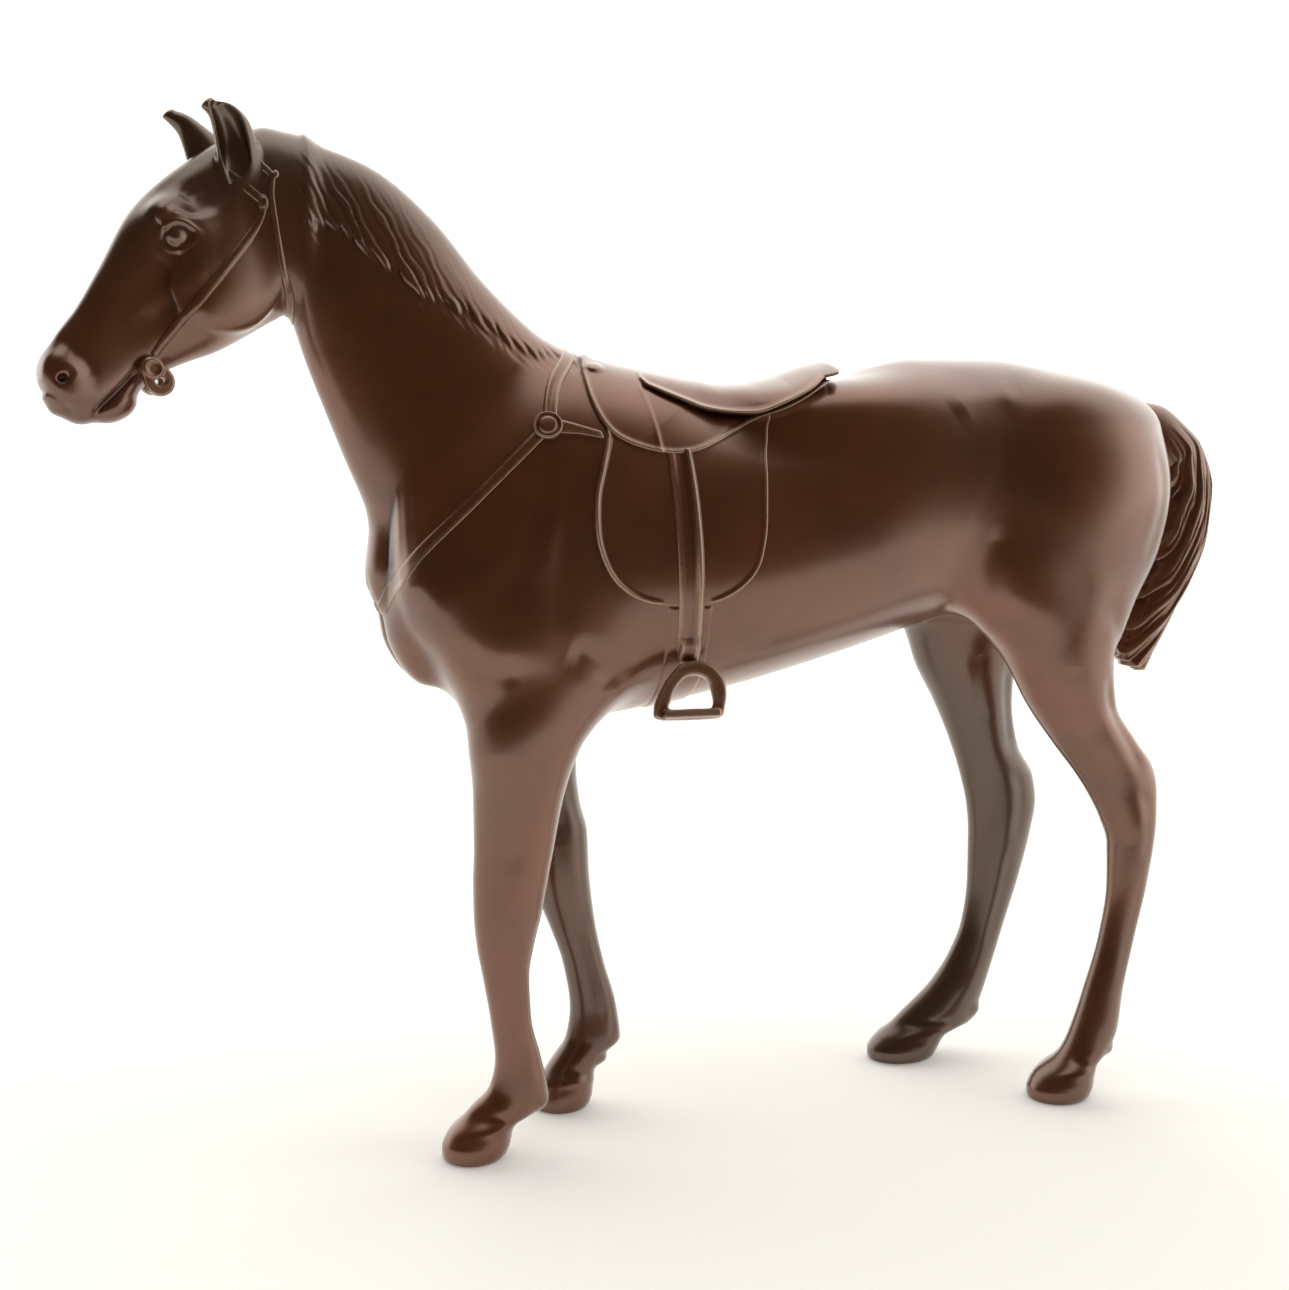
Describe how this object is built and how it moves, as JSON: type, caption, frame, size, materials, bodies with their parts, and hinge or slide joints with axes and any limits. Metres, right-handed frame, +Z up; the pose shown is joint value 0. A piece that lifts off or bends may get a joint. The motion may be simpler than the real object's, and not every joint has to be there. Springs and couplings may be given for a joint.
{
  "type": "bronze horse statuette",
  "caption": "Dark patinated bronze statuette of a standing saddle horse with bridle, breast collar, English saddle and stirrups.",
  "frame": {"origin": "the ground point under the middle of the overall box, on the plane of the hoof soles", "axes": "+Z up, the head looks along -X, the tail is at +X, the horse's left side is -Y"},
  "size_m": [0.2604, 0.056, 0.2084],
  "materials": {
    "bronze": "dark reddish-brown lacquered patina over bronze, semi-gloss",
    "tack_bronze": "the same patina, a little more worn to pale metal on raised edges"
  },
  "bodies": {
    "root": {"bit_left": "tack_bronze", "bit_right": "tack_bronze", "breast_collar": "tack_bronze", "cheek_strap_left": "tack_bronze", "cheek_strap_right": "tack_bronze", "collar_boss_left": "tack_bronze", "collar_boss_right": "tack_bronze", "ear_left": "bronze", "ear_right": "bronze", "flap_left": "tack_bronze", "flap_right": "tack_bronze", "fore_leg_left": "bronze", "fore_leg_right": "bronze", "fore_pin_left": "bronze", "fore_pin_right": "bronze", "girth": "tack_bronze", "head": "bronze", "head_pin": "bronze", "hind_leg_left": "bronze", "hind_leg_right": "bronze", "hind_pin_left": "bronze", "hind_pin_right": "bronze", "neck": "bronze", "neck_pin": "bronze", "rosette_left": "tack_bronze", "rosette_right": "tack_bronze", "saddle_seat": "tack_bronze", "saddle_skirt": "tack_bronze", "saddle_strap_left": "tack_bronze", "saddle_strap_right": "tack_bronze", "stirrup_iron_left": "tack_bronze", "stirrup_iron_right": "tack_bronze", "stirrup_leather_left": "tack_bronze", "stirrup_leather_right": "tack_bronze", "tail": "bronze", "tail_pin": "bronze", "throat_latch": "tack_bronze", "torso": "bronze", "withers_strap": "tack_bronze"}
  },
  "joints": []
}
